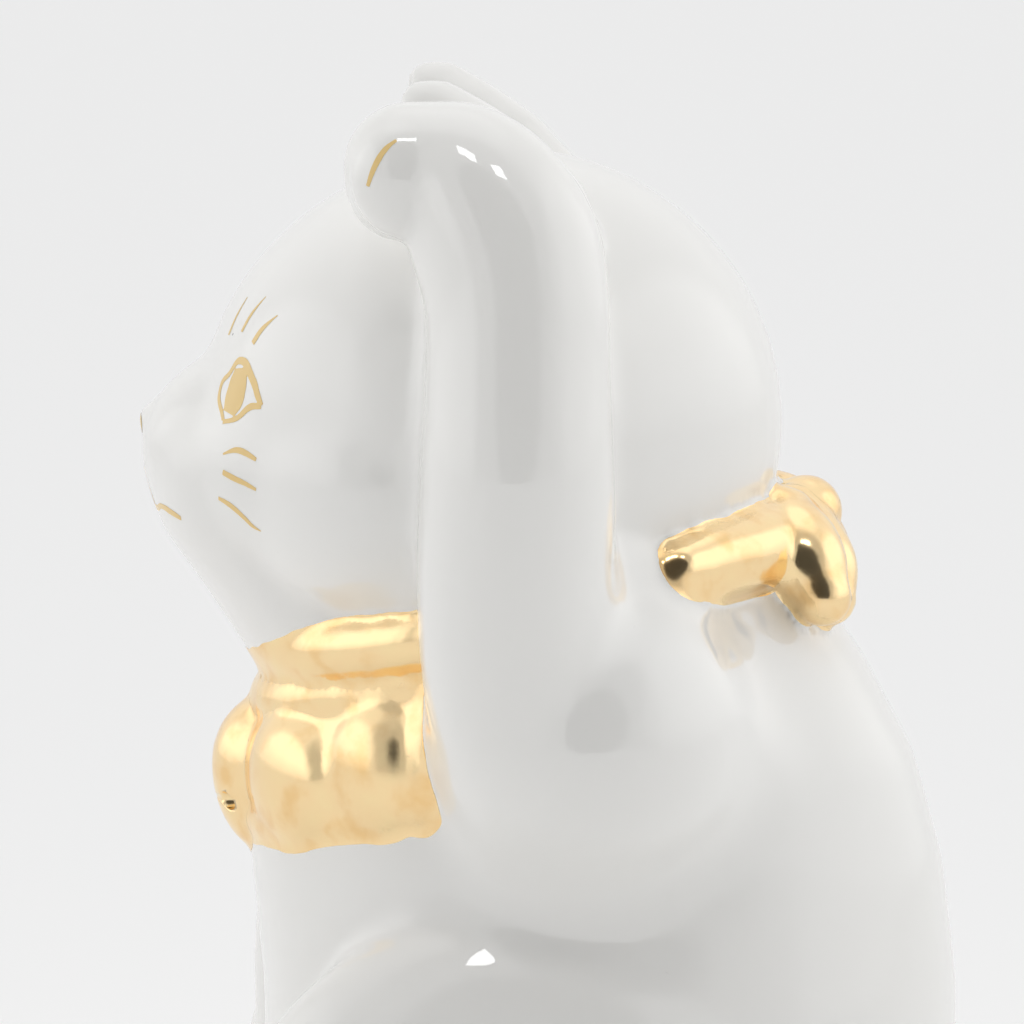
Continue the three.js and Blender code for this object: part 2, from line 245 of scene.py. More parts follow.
def made(name):
    """An object that an earlier operator made."""
    if name not in bpy.data.objects:
        raise RuntimeError(f"there is no {name} yet: run the operators in order")
    return bpy.data.objects[name]


def drop_crumbs(piece):
    """Take away slivers that a cut left loose beside the piece."""
    pick(piece)
    bpy.ops.object.mode_set(mode="EDIT")
    bpy.ops.mesh.select_all(action="SELECT")
    bpy.ops.mesh.separate(type="LOOSE")
    bpy.ops.object.mode_set(mode="OBJECT")
    lumps = list(bpy.context.selected_objects)
    kept = [lump for lump in lumps if len(lump.data.vertices) > CRUMB]
    for lump in lumps:
        if lump not in kept:
            bpy.data.objects.remove(lump)
    return join(kept)


def finish(piece, name, material, node=None):
    """Name a piece, shade it as part of the whole glaze, and hide the CAD node it stands for."""
    if len(piece.data.vertices) <= CRUMB:
        raise RuntimeError(f"{name} came out empty")
    piece = drop_crumbs(piece)
    pick(piece)
    piece.name = piece.data.name = name
    piece.data.materials.clear()
    piece.data.materials.append(material)
    bpy.ops.object.shade_smooth_by_angle(angle=CREASE)
    modify(
        piece,
        "DATA_TRANSFER",
        object=made("casting"),
        use_loop_data=True,
        data_types_loops={"CUSTOM_NORMAL"},
        loop_mapping="POLYINTERP_NEAREST",
    )
    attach(piece, "root")
    if node:
        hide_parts(node)
    return piece


# --- materials --------------------------------------------------------------------------------------------


def shader(name):
    """A new material with its node tree and its main shader."""
    material = bpy.data.materials.new(name)
    material.use_nodes = True
    tree = material.node_tree
    return material, tree, tree.nodes["Principled BSDF"]


def link_noise(tree, scale, detail):
    """Noise on the piece's own coordinates, in features per metre."""
    place = tree.nodes.new("ShaderNodeTexCoord")
    noise = tree.nodes.new("ShaderNodeTexNoise")
    noise.inputs["Scale"].default_value = scale
    noise.inputs["Detail"].default_value = detail
    tree.links.new(place.outputs["Object"], noise.inputs["Vector"])
    return noise.outputs["Fac"]


def link_ramp(tree, source, stops):
    """A colour ramp with (position, colour) stops."""
    ramp = tree.nodes.new("ShaderNodeValToRGB")
    elements = ramp.color_ramp.elements
    while len(elements) < len(stops):
        elements.new(0.5)
    for element, (position, colour) in zip(elements, stops):
        element.position = position
        element.color = (*colour, 1)
    tree.links.new(source, ramp.inputs["Fac"])
    return ramp.outputs["Color"]


def link_bump(tree, source, target, distance):
    """A bump of that many metres on a normal socket."""
    bump = tree.nodes.new("ShaderNodeBump")
    bump.inputs["Distance"].default_value = distance
    tree.links.new(source, bump.inputs["Height"])
    tree.links.new(bump.outputs["Normal"], target)


def mix_in(tree, colour, other, share):
    """A colour with some of another over it."""
    mix = tree.nodes.new("ShaderNodeMix")
    mix.data_type = "RGBA"
    tree.links.new(share, mix.inputs["Factor"])
    tree.links.new(colour, mix.inputs[6])
    mix.inputs[7].default_value = (*other, 1)
    return mix.outputs[2]


def link_math(tree, operation, first, second):
    """A sum, product or limit of sockets and plain numbers."""
    step = tree.nodes.new("ShaderNodeMath")
    step.operation = operation
    for socket, value in zip(step.inputs, (first, second)):
        if isinstance(value, (int, float)):
            socket.default_value = value
        else:
            tree.links.new(value, socket)
    return step.outputs["Value"]


def link_range(tree, source, start, end, kind="LINEAR"):
    """0 at the start of a range to 1 at its end."""
    span = tree.nodes.new("ShaderNodeMapRange")
    span.interpolation_type = kind
    span.inputs["From Min"].default_value = start
    span.inputs["From Max"].default_value = end
    tree.links.new(source, span.inputs["Value"])
    return span.outputs["Result"]


PINHOLE_CELLS = 62  # bubbles per metre each way, seen only where the surface cuts one
PINHOLE_RIM, PINHOLE_PIT = 0.022, 0.014  # in gaps between bubbles
PINHOLE_COLOUR = (0.03, 0.025, 0.02)
FOOT_GLAZED, FOOT_BARE = 1.3 * MM, 0.9 * MM  # heights at which the glaze starts and stops
CLAY = (0.66, 0.62, 0.55)


def link_pinholes(tree):
    """A few specks where a bubble broke the glaze."""
    place = tree.nodes.new("ShaderNodeTexCoord")
    cells = tree.nodes.new("ShaderNodeTexVoronoi")
    cells.inputs["Scale"].default_value = PINHOLE_CELLS
    tree.links.new(place.outputs["Object"], cells.inputs["Vector"])
    return link_range(tree, cells.outputs["Distance"], PINHOLE_RIM, PINHOLE_PIT)


def link_foot(tree):
    """The bare ring that stands on the kiln shelf."""
    place = tree.nodes.new("ShaderNodeTexCoord")
    split = tree.nodes.new("ShaderNodeSeparateXYZ")
    tree.links.new(place.outputs["Object"], split.inputs["Vector"])
    return link_range(tree, split.outputs["Z"], FOOT_GLAZED, FOOT_BARE)


# Noise features per metre
POOLS, WAVES = 28, 70
LUSTRE_CLOUDS, LUSTRE_BLOOM, LUSTRE_GRAIN = 160, 90, 260


def glazed_porcelain():
    """White body under a thick clear glaze, with faint pooling and a gently wavy surface."""
    material, tree, body = shader("glazed_porcelain")
    look = bpy.context.scene.cat_finish
    tint = Vector(look.porcelain)
    pooled = link_noise(tree, POOLS, 2)
    colour = link_ramp(tree, pooled, [(0.3, tint * 0.975), (0.7, tint)])
    colour = mix_in(tree, colour, PINHOLE_COLOUR, link_pinholes(tree))
    colour = mix_in(tree, colour, CLAY, link_foot(tree))
    tree.links.new(colour, body.inputs["Base Color"])
    body.inputs["Roughness"].default_value = 0.42
    body.inputs["Specular IOR Level"].default_value = 0.3
    body.inputs["Coat Weight"].default_value = 1.0
    body.inputs["Coat Roughness"].default_value = 0.03
    body.inputs["Coat IOR"].default_value = 1.75
    link_bump(tree, link_noise(tree, WAVES, 1), body.inputs["Coat Normal"], look.glaze_wave)
    return material


def gold_lustre():
    """Bright gold fired on the glaze, thinner and browner in places."""
    material, tree, metal = shader("gold_lustre")
    look = bpy.context.scene.cat_finish
    rich = Vector(look.gold)
    thin = rich * Vector((0.94, 0.86, 0.74))
    cloud = link_noise(tree, LUSTRE_CLOUDS, 3)
    colour = link_ramp(tree, cloud, [(0.32, thin), (0.5, rich), (0.72, rich * 1.04)])
    tree.links.new(colour, metal.inputs["Base Color"])
    metal.inputs["Metallic"].default_value = 1.0
    rough = tree.nodes.new("ShaderNodeMapRange")
    rough.inputs["To Min"].default_value = look.gold_polished
    rough.inputs["To Max"].default_value = look.gold_dulled
    tree.links.new(link_noise(tree, LUSTRE_BLOOM, 4), rough.inputs["Value"])
    tree.links.new(rough.outputs["Result"], metal.inputs["Roughness"])
    link_bump(tree, link_noise(tree, LUSTRE_GRAIN, 2), metal.inputs["Normal"], look.gold_wave)
    return material


def pale_floor():
    """The plain sweep the figurine stands on."""
    material, tree, body = shader("pale_floor")
    tone = bpy.context.scene.cat_stage.floor
    body.inputs["Base Color"].default_value = (*tone, 1)
    body.inputs["Roughness"].default_value = 0.9
    body.inputs["Specular IOR Level"].default_value = 0.1
    return material


# --- the neck and the chest, which the trim follows --------------------------------------------------------

TORSO = (  # (height, front, back, side) in mm
    (-6, 44, 42, 40),
    (0, 49, 46.5, 45),
    (4, 52, 50.5, 48),
    (18, 55, 56, 51),
    (38, 56, 60, 52),
    (62, 56.5, 60, 48.5),
    (82, 58.5, 57.5, 45.5),
    (100, 58, 52.5, 43),
    (116, 56, 44, 41),
    (130, 53, 34.5, 40),
    (142, 49, 28, 38),
)
NECK_SIDE = 41.2
NECK_DEPTH = 45
NECK_MIDDLE = -10.7
NECK_HEIGHT = 114.5
NECK_TILT = math.radians(16.5)


def torso_at(z):
    """Front, back and side of the torso at a height, in mm."""
    for (z0, *low), (z1, *high) in zip(TORSO, TORSO[1:]):
        if z <= z1:
            share = (z - z0) / (z1 - z0)
            return [a + (b - a) * share for a, b in zip(low, high)]
    return TORSO[-1][1:]


def on_chest(degrees, z, out=0.0):
    """A point on the torso in mm. 0 degrees is the chest, and 90 is the cat's left."""
    front, back, side = torso_at(z)
    angle = math.radians(degrees)
    depth = front if math.cos(angle) > 0 else back
    return Vector(((side + out) * math.sin(angle), -(depth + out) * math.cos(angle), z))


def on_neck(degrees, lift=0.0, out=0.0):
    """A point of the tilted neck line in mm, with the same angles."""
    angle = math.radians(degrees)
    x = (NECK_SIDE + out) * math.sin(angle)
    y = NECK_MIDDLE - (NECK_DEPTH + out) * math.cos(angle)
    rise = (y - NECK_MIDDLE + NECK_DEPTH) * math.tan(NECK_TILT)
    return Vector((x, y, NECK_HEIGHT + rise + lift))


# --- forms ------------------------------------------------------------------------------------------------

SKULL = Vector((0, -16, 155))
SHOULDER_EDGE = (  # spots where the shoulder runs out into the body, as (x, y, z, reach) in mm
    (46, 22, 116, 26),
    (44, 20, 100, 26),
    (52, 6, 90, 24),
    (52, -9, 91, 22),
    (48, -20, 98, 14),
)
# Routes of (x, y, z, radius) in mm
ARM = (
    (34, -5, 94, 18.6),
    (44.5, -10.4, 111, 17.6),
    (50.8, -13.8, 130, 16.2),
    (53, -13.8, 150, 15.6),
    (51.5, -13.7, 168, 14.8),
    (49.5, -14, 180, 14.9),
    (47.5, -16.3, 189, 15.1),
    (45, -23.6, 197.8, 13.4),
    (44, -30.8, 199.8, 11),
)
FORELEG = (
    (-22, -38, 92, 14),
    (-20, -45, 72, 13),
    (-19, -47.5, 45, 11.5),
    (-18.5, -49, 22, 11),
    (-18.5, -55, 10.5, 10.3),
)
TAIL = (
    (14, 44, 10, 8),
    (4, 51.5, 9.5, 8.6),
    (-12, 57, 10, 9.3),
    (-30, 51, 10.5, 9.3),
    (-44, 38, 11, 8.8),
    (-51, 23, 11.5, 7.5),
)


def skull():
    """The round of the head, a little flatter at the nape than at the brow."""
    return egg(SKULL, 50.5, 50.9, 45.5, back=46.4, down=44)


def nose():
    """A small bump at the end of the muzzle."""
    return egg((0, -74.6, 155.3), 3.6, 2.2, 2.8)


def haunch(sign, grow=0.0):
    """A seated cat's thigh, which the hind foot peeps out from."""
    return egg((sign * 37, -13, 35), 20.5 + grow, 49 + grow, 45 + grow)


def shoulders():
    """The left one swells into the raised arm and runs out over the back. The right one hardly shows."""
    return [
        egg((35.5, -1.5, 107), 29.5, 28, 28.5, back=26.5, down=23),
        egg((20, -1.5, 102), 32, 26, 22, back=36, down=26),
        limb(((44, -4, 138, 6), (40, 4, 134, 6), (35, 12, 130, 5))),
        egg((-24, -8, 104), 23, 25, 22),
    ]


def sided(route, sign):
    """A route of the cat's left, on either side."""
    return [(sign * x, y, z, radius) for x, y, z, radius in route]


def grown(route, grow):
    """The same route for a limb that is fatter all round."""
    return [(x, y, z, radius + grow) for x, y, z, radius in route]


def toes(x, y, z, radius, spread, grow):
    """Three low bumps across the front of a foot."""
    size = radius + grow
    return [
        egg((x + step * spread, y + abs(step) * 1.3, z), size, radius * 1.15 + grow, size)
        for step in (-1, 0, 1)
    ]


def hind_foot(sign, grow=0.0):
    """A foot that peeps out under the thigh."""
    heel, ball = (sign * 38.5, -42, 9, 10.5 + grow), (sign * 38, -58.5, 8.5, 10 + grow)
    return [limb((heel, ball)), *toes(sign * 38, -65, 7.3, 5.8, 6.4, grow)]


def foreleg(grow=0.0):
    """The right foreleg, which stands on its own toes."""
    return [limb(grown(FORELEG, grow)), *toes(-18.5, -61.5, 7.5, 5.4, 5.6, grow)]


EAR = (  # (height, side, depth, middle) in mm
    (172, 10.5, 15, -15.5),
    (186, 11, 16.8, -16),
    (196, 9.8, 15.2, -18.2),
    (204, 7.8, 12, -22.2),
    (208.8, 5.6, 8.6, -25.8),
    (211.6, 3.4, 5.4, -27.4),
    (213.3, 1.4, 2.4, -27.4),
)
EAR_OUT, EAR_LEAN = 28.5, 3  # the base's distance from the middle, and how much further the tip is
EAR_GRAIN = 0.8


def ear(sign, grow=0.0):
    """An ear from rings that are each moved to their own middle, so that its tip leans forward and out."""
    piece = lofted([(z, depth + grow, depth + grow, side + grow) for z, side, depth, middle in EAR])
    base, tip = EAR[0][0], EAR[-1][0]
    bpy.ops.object.mode_set(mode="EDIT")
    for z, side, depth, middle in EAR:
        bpy.ops.mesh.select_all(action="DESELECT")
        bpy.ops.object.mode_set(mode="OBJECT")
        for vertex in piece.data.vertices:
            vertex.select = abs(vertex.co.z - z * MM) < 0.01 * MM
        bpy.ops.object.mode_set(mode="EDIT")
        lean = sign * (EAR_OUT + EAR_LEAN * (z - base) / (tip - base))
        bpy.ops.transform.translate(value=(lean * MM, middle * MM, 0))
    bpy.ops.object.mode_set(mode="OBJECT")
    return fuse(piece, EAR_GRAIN, 0.8)


def ear_hollow(sign):
    """The scoop in the front of an ear."""
    x = sign * 31
    scoop = limb(((x, -36, 186, 8.6), (x, -35.2, 196, 7.6), (x, -34.2, 204, 5.2), (x, -33.4, 209.5, 2.4)))
    return fuse(scoop, EAR_GRAIN, 0.4)


COLLAR_ENDS = (-106, 84)  # degrees round the neck
COLLAR_RADIUS = 5.2
COLLAR_LIFT, COLLAR_SUNK = 0.4, -2.6
COLLAR_RISE = 2.2  # how much higher it sits under the chin
COURSE_STEPS = 14


def collar_form(grow=0.0):
    """The ribbon round the front of the neck."""
    first, last = COLLAR_ENDS
    points = []
    for step in range(COURSE_STEPS + 1):
        degrees = first + (last - first) * step / COURSE_STEPS
        raised = COLLAR_RISE * max(0.0, math.cos(math.radians(degrees))) ** 2
        points.append((*on_neck(degrees, COLLAR_LIFT + raised, COLLAR_SUNK), COLLAR_RADIUS + grow))
    return limb(points)


BIB_REACH = 63  # degrees round the chest, to the cat's right
BIB_LENGTH = 30.5
BIB_EDGE = 6  # from the neck line down to the folds
BAND_RADIUS, BAND_SUNK, FOLD_SUNK = 4.5, -2.8, -3.4
# Courses: (lift from the neck line, degrees round to the cat's left)
BIB_BANDS = ((-5.4, 82), (-12, 79), (-18.5, 72), (-25, 64))
# Folds: (degrees, half width, height of the widest place above the hem, thickness)
BIB_LOBES = ((0, 13, 12, 4.8), (26, 15, 13, 7.8), (50, 11.5, 12, 8.2), (60, 6, 9, 7.4))


def bib_band(lift, reach, grow=0.0):
    """One course of the bib's backing, which follows the collar round the chest to the raised arm."""
    points = []
    for step in range(COURSE_STEPS + 1):
        degrees = -BIB_REACH + (BIB_REACH + reach) * step / COURSE_STEPS
        point = on_chest(degrees, on_neck(degrees, lift).z, BAND_SUNK)
        points.append((*point, BAND_RADIUS + grow))
    return limb(points)


def bib_lobe(degrees, width, rise, thickness, grow=0.0):
    """One soft fold of the bib. It hangs from the neck and swells towards its hem."""
    hem = on_neck(degrees, -BIB_LENGTH).z
    centre = on_chest(degrees, hem + rise, FOLD_SUNK)
    up = BIB_LENGTH - BIB_EDGE - rise
    turn = math.radians(degrees)
    return egg(centre, width + grow, thickness + grow, up + grow, down=rise + grow, turn=turn)


def bib_forms(grow=0.0):
    """The bib's courses, with a fold in the middle and pairs of folds beside it."""
    first, *others = BIB_LOBES
    forms = [bib_band(lift, reach, grow) for lift, reach in BIB_BANDS]
    forms.append(bib_lobe(*first, grow))
    for degrees, *sizes in others:
        forms += [bib_lobe(sign * degrees, *sizes, grow) for sign in (LEFT, RIGHT)]
    return forms


def bell_form(grow=0.0):
    """The bell, with a longer lower half."""
    return egg((0, -54.6, 97.5), 11.2 + grow, 10.4 + grow, 12 + grow, down=15.4 + grow)


def bell_slot():
    """The slit across the bell's front, with a round hole at each end."""
    ends = [egg((side * 6.4, -63, 92), 1.7, 5, 1.7) for side in (LEFT, RIGHT)]
    slit = limb(((-6, -66.5, 92, 0.9), (0, -68, 91.8, 0.9), (6, -66.5, 92, 0.9)), tip=False)
    deeper = limb(((-6, -63.5, 92, 1), (0, -65, 91.8, 1), (6, -63.5, 92, 1)), tip=False)
    return fuse(join([slit, deeper, *ends]), 0.4, 0.3)


def bow_loop(sign, grow=0.0):
    """A flattened loop that lies along the foot of the head."""
    route = (
        (38, 12, 134.5, 5.5),
        (33.4, 16.1, 135.1, 6.4),
        (28, 20.8, 135.6, 6.6),
        (20, 25.5, 136.2, 7),
        (11, 29.5, 137, 6.7),
    )
    return limb(grown(sided(route, sign), grow))


def bow_tail(sign, grow=0.0):
    """A flat ribbon end, from two courses side by side."""
    outer = ((11, 30, 139, 6.4), (16.5, 32, 135.6, 7.3), (20, 34.2, 131.8, 6.6), (22, 36, 128.4, 4.9))
    inner = ((4, 32.5, 140, 5), (8, 35, 135, 6), (11.5, 36.8, 131, 5.8), (14.5, 37.6, 127, 4.4))
    return join([limb(grown(sided(course, sign), grow)) for course in (outer, inner)])


def bow_knot(grow=0.0):
    """The knot at the nape."""
    return egg((0, 34.2, 139.8), 7 + grow, 6.2 + grow, 6.2 + grow)


def paw_toes():
    """Finger lobes round the front of the raised paw."""
    return [
        egg((38.6, -31.5, 198.5), 6.2, 8.6, 9.5),
        egg((44, -32.4, 198.8), 6, 9, 10.5),
        egg((49.6, -31.5, 198.5), 6, 8.6, 9.5),
    ]


def face_forms():
    """Muzzle, cheeks, chin and throat."""
    return [
        egg((0, -52, 151), 24, 24.5, 18, down=21.5),
        egg((0, -36, 162), 35, 27, 25),
        egg((0, -44, 149), 37, 27, 23),
        egg((0, -32, 148), 48, 33, 28),
        limb(((0, -54.5, 147, 20.6), (0, -44.5, 133, 21), (0, -34, 118, 22)), widened=1.3),
    ]


HEAD_SPAN, HEAD_ROOM = 0.3, 0.2  # a block larger than the head, in metres


def neck_cut():
    """Everything above the neck line, as a mask."""
    deselect()
    bpy.ops.mesh.primitive_cube_add(size=1)
    block = bpy.context.object
    block.scale = (HEAD_SPAN, HEAD_SPAN, HEAD_ROOM)
    block.rotation_euler = (NECK_TILT, 0, 0)
    up = Vector((0, -math.sin(NECK_TILT), math.cos(NECK_TILT)))
    middle = Vector((0, NECK_MIDDLE, on_neck(90, 1).z)) * MM
    block.location = middle + up * (HEAD_ROOM / 2)
    return settle(block)


EAR_SEAM = 179 * MM


def ear_mask(sign):
    """What stands above the seam where an ear is luted on."""
    piece = ear(sign, 1.5)
    bpy.ops.object.mode_set(mode="EDIT")
    bpy.ops.mesh.select_all(action="SELECT")
    bpy.ops.mesh.bisect(plane_co=(0, 0, EAR_SEAM), plane_no=(0, 0, 1), use_fill=True, clear_inner=True)
    bpy.ops.object.mode_set(mode="OBJECT")
    return piece


# Painted strokes on the cat's left, as (x, y, z, half width) in mm. The eyes are rims round wide pupils.
EYE = (
    ((24.1, -61.6, 157.7, 0.35), (19.3, -62.2, 162.7, 0.5), (21.2, -60.6, 165.1, 0.5),
     (23.1, -58.9, 167.3, 0.65), (28.3, -56.5, 164.6, 0.75), (30.4, -55.6, 162.1, 0.65),
     (31.4, -55, 160.8, 0.5)),
    ((31.4, -55.1, 160.7, 0.45), (29, -57.1, 160.3, 0.6), (26.9, -59.3, 158.3, 0.5),
     (24.3, -61.6, 157.4, 0.4)),
    ((24.1, -58.9, 166.2, 1.8), (24.4, -59, 164.5, 2.7), (24.6, -59.4, 162.6, 3),
     (24.6, -60, 160.7, 2.9), (24.6, -60.7, 158.9, 1.9)),
)
BROWS = (
    ((15.2, -61, 170.7, 0.4), (14.6, -59.6, 173.9, 0.35), (14.5, -57.9, 176.9, 0.12)),
    ((19.9, -58.7, 171.7, 0.4), (19.9, -57, 174.4, 0.42), (20.9, -54.6, 177.6, 0.12)),
    ((24.8, -56.7, 170.3, 0.6), (25.3, -55.2, 172.5, 0.55), (26.9, -52.5, 175, 0.15)),
)
WHISKERS = (
    ((27.2, -61.5, 152.5, 0.2), (29.5, -59.1, 153.4, 0.5), (31.1, -57.5, 153, 0.5),
     (32.8, -55.9, 152.2, 0.35)),
    ((27.7, -61.5, 149.6, 0.45), (29.6, -59.8, 148.9, 0.5), (31.5, -57.8, 148.2, 0.42),
     (33.2, -55.9, 147.4, 0.3)),
    ((26.1, -62.3, 145.2, 0.35), (28, -60.4, 144.3, 0.5), (29.5, -58.1, 142.5, 0.5),
     (30.2, -56.6, 141.1, 0.4), (31.4, -55.2, 140.4, 0.15)),
)
MOUTH = (
    ((0.4, -75.5, 147.5, 0.3), (0.9, -75.2, 144, 0.4), (3, -74.6, 141.6, 0.45), (6.8, -73.6, 141.2, 0.5),
     (10.6, -72.5, 142, 0.5), (14.4, -70.6, 141.5, 0.6), (16.8, -68.8, 140.8, 0.45)),
)
CLAWS = (
    ((53.9, -37.3, 197.7, 0.35), (54.3, -36.1, 201, 0.5), (54.1, -34.5, 203.5, 0.45),
     (53.8, -32.8, 204.9, 0.25)),
    ((34.2, -37.3, 197.7, 0.35), (33.8, -36.1, 201, 0.5), (34, -34.5, 203.5, 0.45),
     (34.4, -32.8, 204.9, 0.25)),
)


def stroke(surface, points, sign):
    """The brush's path over a surface, as a fine closed form that tapers with it."""
    route = []
    for x, y, z, half_width in points:
        spot = surface.closest_point_on_mesh(Vector((sign * x, y, z)) * MM)[1] / MM
        route.append((*spot, half_width))
    return limb(route, tip=False)


# --- property groups --------------------------------------------------------------------------------------


class CatForm(bpy.types.PropertyGroup):
    grain: FloatProperty(
        name="Grain",
        description="Width of the surface's faces, in millimetres",
        default=0.95,
        min=0.5,
        max=3,
    )
    body_softness: FloatProperty(
        name="Body softness",
        description="How far the glaze rounds the big forms into each other, in millimetres",
        default=2.5,
    )
    detail_softness: FloatProperty(
        name="Detail softness",
        description="How far it rounds the arm, the ears and the relief, in millimetres",
        default=1.25,
    )
    gold_thickness: FloatProperty(
        name="Gold thickness",
        description="How far the painted gold stands on the glaze",
        default=0.00006,
        unit="LENGTH",
    )


class CatFinish(bpy.types.PropertyGroup):
    porcelain: FloatVectorProperty(
        name="Porcelain",
        description="Colour of the glazed porcelain",
        default=(0.905, 0.898, 0.872),
        subtype="COLOR",
    )
    gold: FloatVectorProperty(
        name="Gold",
        description="Colour of the gold lustre",
        default=(1.0, 0.75, 0.42),
        subtype="COLOR",
    )
    glaze_wave: FloatProperty(
        name="Glaze wave",
        description="How far the glaze ripples where it ran",
        default=0.00006,
        unit="LENGTH",
    )
    gold_wave: FloatProperty(
        name="Gold wave",
        description="How far the gold's surface ripples",
        default=0.00003,
        unit="LENGTH",
    )
    gold_polished: FloatProperty(
        name="Polished gold",
        description="Roughness of the gold where it is brightest",
        default=0.08,
        min=0,
        max=1,
        subtype="FACTOR",
    )
    gold_dulled: FloatProperty(
        name="Dulled gold",
        description="Roughness of the gold where it is dullest",
        default=0.27,
        min=0,
        max=1,
        subtype="FACTOR",
    )


class CatStage(bpy.types.PropertyGroup):
    floor: FloatVectorProperty(
        name="Floor",
        description="Colour of the floor",
        default=(0.93, 0.93, 0.93),
        subtype="COLOR",
    )
    turn: FloatProperty(
        name="Camera turn",
        description="How far round the camera stands from the cat's front",
        default=math.radians(90),
        subtype="ANGLE",
    )
    rise: FloatProperty(
        name="Camera rise",
        description="How far the camera looks down",
        default=math.radians(7),
        subtype="ANGLE",
    )
    distance: FloatProperty(
        name="Camera distance",
        description="From the camera to the middle of the view",
        default=1.0,
        unit="LENGTH",
    )
    view_width: FloatProperty(
        name="View width",
        description="Width of what the camera sees at that distance",
        default=0.1707,
        unit="LENGTH",
    )


# --- operators --------------------------------------------------------------------------------------------


# Lengths of the stage are in metres.
FLOOR_SIZE = 24
FLOOR_GAP = 0.2 * MM
VIEW_MIDDLE = Vector((0, -14.7, 139.7)) * MM
FAR_LIMIT = 40
ROOM_LEVEL = 0.95
ROOM_DARKEST = 0.06
ROOM_SEEN = 0.84
ROOM_PATCHES = (  # (direction, cosine at the edge, cosine where full, change of light)
    ((0.91, 0, 0.41), 0.44, 0.64, -0.36),  # the dim side, where the camera stands
    ((0.91, 0, 0.41), 0.83, 0.9, -0.52),  # its dark middle
    ((-0.91, 0, -0.41), 0.55, 0.8, -0.1),  # behind the cat
    ((-0.2, 0, 0.98), 0.84, 0.94, 0.3),  # a pale ceiling
)
SOFTBOXES = (  # the same, for what stands above the floor
    ((0, 1, 0), 0.62, 0.74, 0.38),
    ((0, -1, 0), 0.72, 0.82, 0.42),
)
WINDOWS = (  # (name, place, size, power)
    ("window_left", (0.55, -0.16, 1.1), (0.22, 0.12), 0.5),
    ("window_right", (0.6, 0.22, 1.1), (0.16, 0.12), 0.35),
)
WINDOW_AIM = Vector((0, 0, 0.12))


class CAT_OT_stage(bpy.types.Operator):
    """Floor, studio light and camera"""

    bl_idname = "cat.stage"
    bl_label = "Stage"

    def execute(self, context):
        stage = context.scene.cat_stage
        deselect()
        bpy.ops.mesh.primitive_plane_add(size=FLOOR_SIZE, location=(0, 0, -FLOOR_GAP))
        floor = context.object
        floor.name = "floor"
        floor.data.materials.append(pale_floor())
        self.light_room(context)
        self.hang_windows(context)
        self.place_camera(context, stage)
        context.scene.view_settings.view_transform = "Standard"
        return {"FINISHED"}

    def place_camera(self, context, stage):
        """The camera on a sphere round the middle of the view, with a lens for the width that it sees."""
        away = Vector((math.sin(stage.turn), -math.cos(stage.turn), 0)) * math.cos(stage.rise)
        away.z = math.sin(stage.rise)
        camera = bpy.data.objects.new("camera", bpy.data.cameras.new("camera"))
        camera.data.lens = camera.data.sensor_width * stage.distance / stage.view_width
        camera.data.clip_end = FAR_LIMIT
        camera.location = VIEW_MIDDLE + away * stage.distance
        camera.rotation_euler = (-away).to_track_quat("-Z", "Y").to_euler()
        context.collection.objects.link(camera)
        context.scene.camera = camera

    def light_room(self, context):
        """An even pale room that is dimmer behind the camera and has a soft box to each side."""
        world = bpy.data.worlds.new("studio")
        context.scene.world = world
        world.use_nodes = True
        tree = world.node_tree
        background = tree.nodes["Background"]
        place = tree.nodes.new("ShaderNodeTexCoord")

        def patch(direction, edge, full):
            """1 in a round patch of the room, 0 outside it."""
            towards = tree.nodes.new("ShaderNodeVectorMath")
            towards.operation = "DOT_PRODUCT"
            towards.inputs[1].default_value = direction
            tree.links.new(place.outputs["Generated"], towards.inputs[0])
            return link_range(tree, towards.outputs["Value"], edge, full, "SMOOTHSTEP")

        level = ROOM_LEVEL
        for direction, edge, full, change in ROOM_PATCHES:
            level = link_math(
                tree, "ADD", level, link_math(tree, "MULTIPLY", patch(direction, edge, full), change)
            )
        above = patch((0, 0, 1), -0.1, 0.3)
        for direction, edge, full, change in SOFTBOXES:
            upper = link_math(tree, "MULTIPLY", patch(direction, edge, full), above)
            level = link_math(tree, "ADD", level, link_math(tree, "MULTIPLY", upper, change))
        level = link_math(tree, "MAXIMUM", level, ROOM_DARKEST)
        path = tree.nodes.new("ShaderNodeLightPath")
        seen = tree.nodes.new("ShaderNodeMix")
        seen.inputs["B"].default_value = ROOM_SEEN
        tree.links.new(path.outputs["Is Camera Ray"], seen.inputs["Factor"])
        tree.links.new(level, seen.inputs["A"])
        tree.links.new(seen.outputs["Result"], background.inputs["Strength"])
        background.inputs["Color"].default_value = (1, 1, 1, 1)

    def hang_windows(self, context):
        """Two small lamps, whose reflections lie on the paw and the thigh."""
        for name, place, size, power in WINDOWS:
            lamp = bpy.data.lights.new(name, "AREA")
            lamp.shape = "RECTANGLE"
            lamp.size, lamp.size_y = size
            lamp.energy = power
            lamp_object = bpy.data.objects.new(name, lamp)
            lamp_object.location = place
            aim = WINDOW_AIM - Vector(place)
            lamp_object.rotation_euler = aim.to_track_quat("-Z", "Y").to_euler()
            context.collection.objects.link(lamp_object)


BODY_GRAIN = 1.5
SHOULDER_PASSES, ARMPIT_PASSES = 110, 80
ARMPIT = (  # spots between the raised arm and the bow, as (x, y, z, reach) in mm
    (56, 7, 128, 18),
    (57, 8, 114, 20),
    (44, 24, 124, 17),
    (46, 24, 112, 14),
)
CUT_LIMIT = 1e-7  # a point this near the floor counts as on it


